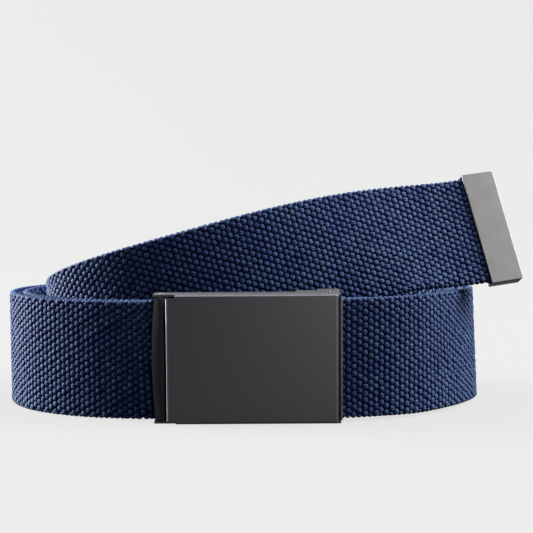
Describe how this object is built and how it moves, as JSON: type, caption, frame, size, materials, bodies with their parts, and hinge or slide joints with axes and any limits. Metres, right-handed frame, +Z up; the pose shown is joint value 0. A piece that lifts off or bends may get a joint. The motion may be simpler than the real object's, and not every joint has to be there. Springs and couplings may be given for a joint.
{
  "type": "elastic web belt",
  "caption": "Elastic web belt coiled on its edge, threaded through a stamped metal box buckle with a toothed locking jaw, its free end closed by a metal tip.",
  "frame": {"origin": "middle of the belt's footprint, on the surface it stands on", "axes": "+Z up, -Y out of the buckle's front plate, +X to the plate's right, towards the capped free end"},
  "size_m": [0.1836, 0.0968, 0.0819],
  "materials": {
    "webbing": "coarse woven navy elastic webbing",
    "tip": "brushed across the strap",
    "buckle": "satin gunmetal",
    "jaw": "smooth dark gunmetal",
    "hardware": "plain rolled steel"
  },
  "bodies": {
    "belt": {"webbing": "webbing", "belt_tip": "tip", "buckle_shell": "buckle", "jaw_pin": "hardware", "back_bar": "jaw", "end_clamp": "hardware", "clamp_pin": "hardware"},
    "jaw": {"locking_jaw": "jaw"}
  },
  "joints": [
    {"name": "jaw_release", "type": "hinge", "parent": "belt", "child": "jaw", "pos_m": [-0.03276, -0.04396, 0.02125], "axis": [0, 0, -1], "range_deg": [0, 30]}
  ]
}
